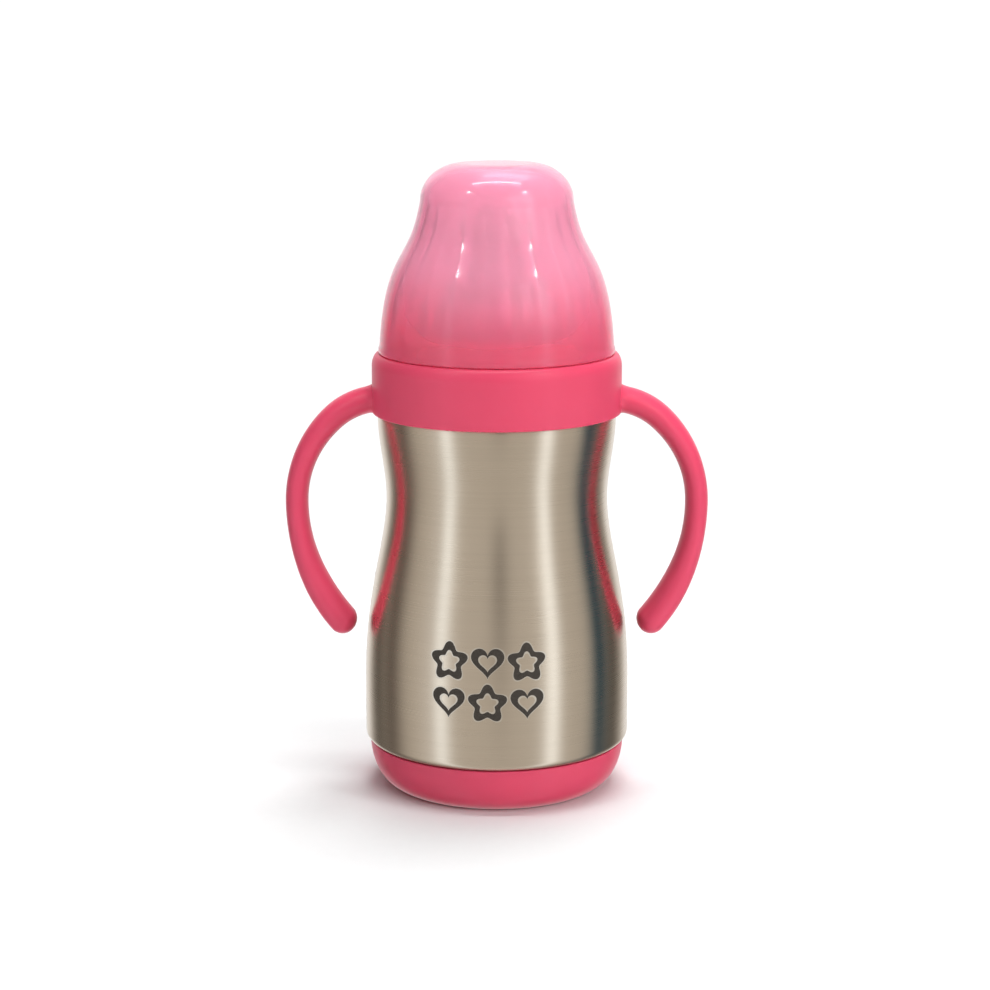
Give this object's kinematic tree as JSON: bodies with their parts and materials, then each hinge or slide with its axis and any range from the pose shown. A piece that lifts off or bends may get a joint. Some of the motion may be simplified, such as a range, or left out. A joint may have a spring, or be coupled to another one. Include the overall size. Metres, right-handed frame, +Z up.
{
  "type": "baby bottle",
  "caption": "Insulated steel baby bottle with a waisted body, moulded base cup, screw collar with side handles, silicone nipple and translucent hood.",
  "frame": {"origin": "centre of the base cup's underside, on the surface that the bottle stands on", "axes": "+Z up along the bottle's axis, the handles along +X and -X, the front towards -Y"},
  "size_m": [0.1114, 0.07, 0.1647],
  "materials": {
    "brushed_steel": "fine brushing round the body, satin",
    "plain_steel": "plain rolled sheet",
    "solder": "dull grey bead",
    "foil": "bright rolled foil",
    "pink_plastic": "satin moulded polypropylene",
    "adhesive_foam": "white closed-cell foam",
    "silicone": "clear milky silicone, smooth",
    "hood_plastic": "glossy translucent polypropylene"
  },
  "bodies": {
    "flask": {"outer_shell": "brushed_steel", "inner_liner": "brushed_steel", "base_plate": "plain_steel", "vacuum_seal": "solder", "getter_capsule": "plain_steel", "radiation_foil": "foil", "base_cup": "pink_plastic", "adhesive_pad": "adhesive_foam"},
    "nipple": {"nipple": "silicone"},
    "collar": {"handle_collar": "pink_plastic"},
    "hood": {"hood": "hood_plastic"}
  },
  "joints": [
    {"name": "nipple_lift", "type": "slide", "parent": "flask", "child": "nipple", "axis": [0, 0, 1], "range_m": [0, 0.0181]},
    {"name": "collar_turn", "type": "hinge", "parent": "nipple", "child": "collar", "pos_m": [0, 0, 0.108], "axis": [0, 0, 1], "range_deg": [0, 1620]},
    {"name": "hood_pull", "type": "slide", "parent": "collar", "child": "hood", "axis": [0, 0, 1], "range_m": [0, 0.06]}
  ],
  "couplings": [
    {"joint": "nipple_lift", "follows": "collar_turn", "m_per_rad": 0.00063662}
  ]
}
